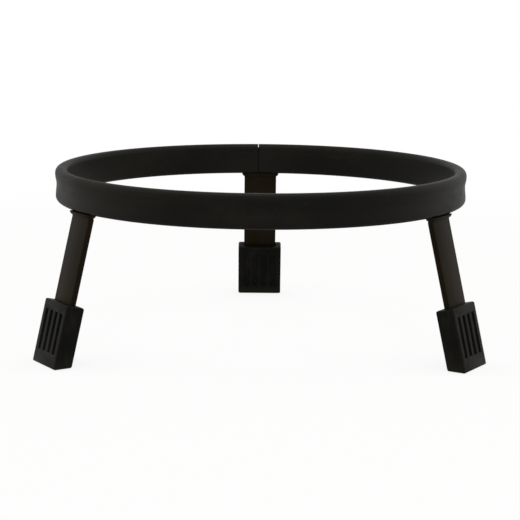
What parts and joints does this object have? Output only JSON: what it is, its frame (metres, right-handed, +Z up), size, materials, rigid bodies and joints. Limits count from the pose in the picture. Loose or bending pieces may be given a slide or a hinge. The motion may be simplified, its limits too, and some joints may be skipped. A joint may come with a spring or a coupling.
{
  "type": "conga stand",
  "caption": "Low floor stand for a hand drum: rubber-covered steel hoop on splayed flat-bar legs with grooved rubber boots.",
  "frame": {"origin": "middle of the stand's bounding box, on the floor that the boots stand on", "axes": "+Z up along the ring's axis, the single back leg towards +Y, the two front legs towards -Y, +X to the right seen from the front"},
  "size_m": [0.305, 0.3149, 0.1235],
  "materials": {
    "leg_paint": "satin",
    "weld_paint": "satin",
    "ring_rubber": "matte",
    "boot_rubber": "matte"
  },
  "bodies": {
    "root": {"hoop": "leg_paint", "ring_sleeve": "ring_rubber", "leg_back": "leg_paint", "leg_left": "leg_paint", "leg_right": "leg_paint", "weld_back": "weld_paint", "weld_left": "weld_paint", "weld_right": "weld_paint", "boot_back": "boot_rubber", "boot_left": "boot_rubber", "boot_right": "boot_rubber"}
  },
  "joints": []
}
